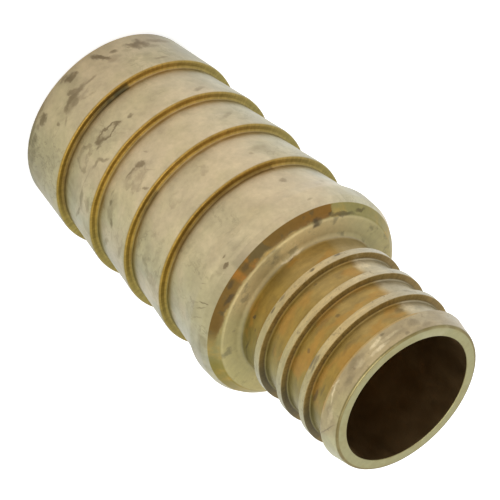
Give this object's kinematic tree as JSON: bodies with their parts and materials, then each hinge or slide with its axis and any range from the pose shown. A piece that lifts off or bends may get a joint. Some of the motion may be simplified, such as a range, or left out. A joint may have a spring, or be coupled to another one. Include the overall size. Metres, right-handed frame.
{
  "type": "pipe adapter fitting",
  "caption": "Turned brass pipe adapter: a crimp spigot with square ribs on one end, a larger saw-tooth barbed spigot on the other, and a plain collar between them.",
  "frame": {"origin": "centre of the barbed end's face, where the bore's axis meets it; the fitting stands on this face", "axes": "+Z along the bore, from the barbed end up to the crimp end; the form is round, so X and Y are free"},
  "size_m": [0.029, 0.029, 0.0623],
  "materials": {
    "brass": "satin turned brass, dulled and stained by storage, brighter gold at the turned steps"
  },
  "bodies": {
    "root": {"fitting_body": "brass"}
  },
  "joints": []
}
